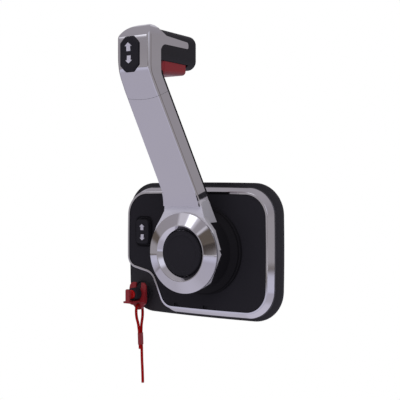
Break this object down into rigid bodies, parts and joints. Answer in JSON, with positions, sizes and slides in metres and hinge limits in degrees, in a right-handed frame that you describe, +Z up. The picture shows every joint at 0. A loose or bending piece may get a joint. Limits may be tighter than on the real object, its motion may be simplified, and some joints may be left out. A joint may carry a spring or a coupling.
{
  "type": "boat throttle control lever",
  "caption": "Side-mount boat throttle and shift lever with chrome arm, rubber grip, trim rockers, rear gear housing and kill switch with red lanyard.",
  "frame": {"origin": "where the lever pivot axis meets the wall, at the centre of the four mounting studs", "axes": "+Z up, -Y out of the wall towards the helm, -X forward"},
  "size_m": [0.1786, 0.1613, 0.3475],
  "materials": {
    "gasket_rubber": "matt sheet rubber",
    "plate_black": "satin black moulding",
    "chrome": "bright chrome plating",
    "black_plastic": "fine satin black",
    "black_rubber": "soft black overmoulding",
    "steel": "stainless",
    "brass": "turned",
    "aluminium": "cast",
    "bearing_plastic": "acetal",
    "red_plastic": "satin red",
    "red_cord": "braided cord"
  },
  "bodies": {
    "panel": {"mounting_gasket": "gasket_rubber", "mounting_plate": "plate_black", "mounting_studs": "steel", "housing_screws": "steel", "chrome_trim": "chrome", "fascia_plate": "black_plastic", "hub_collar": "black_plastic", "rear_housing": "plate_black", "rear_cover": "plate_black", "cover_screws": "steel", "front_bush": "bearing_plastic", "rear_bush": "bearing_plastic", "shift_bush": "bearing_plastic", "detent_guide": "aluminium", "detent_spring": "steel", "panel_switch": "black_plastic", "kill_body": "black_plastic", "kill_nut": "black_plastic", "kill_spring": "steel"},
    "lever": {"pivot_shaft": "steel", "drive_gear": "steel", "detent_disc": "steel", "throttle_arm": "steel", "throttle_retaining_ring": "steel", "throttle_cable_pin": "brass", "lever_shell": "chrome", "lever_cover": "black_plastic", "cover_bolts": "steel", "head_cap": "chrome", "head_switch": "black_plastic", "grip_core": "aluminium", "grip_rubber": "black_rubber", "hub_ring": "chrome", "hub_screw": "steel", "lock_spring": "steel", "cap_spring": "steel"},
    "shift_train": {"shift_shaft": "steel", "shift_sector": "steel", "shift_arm": "steel", "shift_retaining_ring": "steel", "shift_cable_pin": "brass"},
    "lock_bar": {"lock_bar": "red_plastic", "lock_rod": "steel"},
    "head_rocker": {"head_rocker": "black_plastic"},
    "panel_rocker": {"panel_rocker": "black_plastic"},
    "push_cap": {"push_cap": "black_plastic"},
    "detent": {"detent_roller": "steel"},
    "kill_clip": {"kill_clip": "red_plastic", "lanyard_sleeve": "red_plastic", "lanyard_cord": "red_cord"},
    "kill_plunger": {"kill_plunger": "black_plastic", "kill_cap": "red_plastic"}
  },
  "joints": [
    {"name": "lever_hinge", "type": "hinge", "parent": "panel", "child": "lever", "pos_m": [0, 0, 0], "axis": [0, -1, 0], "range_deg": [-60, 70]},
    {"name": "shift_hinge", "type": "hinge", "parent": "panel", "child": "shift_train", "pos_m": [0, 0, -0.04], "axis": [0, -1, 0], "range_deg": [-42, 36]},
    {"name": "lock_slide", "type": "slide", "parent": "lever", "child": "lock_bar", "axis": [-0.1769, -0.3124, 0.9333], "range_m": [0, 0.005], "stiffness_N_per_m": 400, "springref_m": -0.004, "deforming": ["lock_spring"]},
    {"name": "head_rocker_hinge", "type": "hinge", "parent": "lever", "child": "head_rocker", "pos_m": [-0.028, -0.0892, 0.1815], "axis": [1, 0, 0], "range_deg": [-5, 5], "stiffness_Nm_per_rad": 0.25},
    {"name": "panel_rocker_hinge", "type": "hinge", "parent": "panel", "child": "panel_rocker", "pos_m": [-0.0722, -0.0059, 0.0163], "axis": [1, 0, 0], "range_deg": [-5, 5], "stiffness_Nm_per_rad": 0.25},
    {"name": "cap_slide", "type": "slide", "parent": "lever", "child": "push_cap", "axis": [0, 1, 0], "range_m": [0, 0.0035], "stiffness_N_per_m": 1500, "springref_m": -0.001, "deforming": ["cap_spring"]},
    {"name": "detent_slide", "type": "slide", "parent": "panel", "child": "detent", "axis": [0, 0, 1], "range_m": [0, 0.0015], "stiffness_N_per_m": 3000, "springref_m": -0.001, "deforming": ["detent_spring"]},
    {"name": "kill_clip_slide", "type": "slide", "parent": "panel", "child": "kill_clip", "axis": [0, 0, -1], "range_m": [0, 0.022]},
    {"name": "kill_plunger_slide", "type": "slide", "parent": "panel", "child": "kill_plunger", "axis": [0, 1, 0], "range_m": [0, 0.0044], "deforming": ["kill_spring"]}
  ],
  "couplings": [
    {"joint": "shift_hinge", "follows": "lever_hinge", "ratio": -0.6},
    {"joint": "kill_plunger_slide", "follows": "kill_clip_slide", "ratio": 0.2}
  ]
}
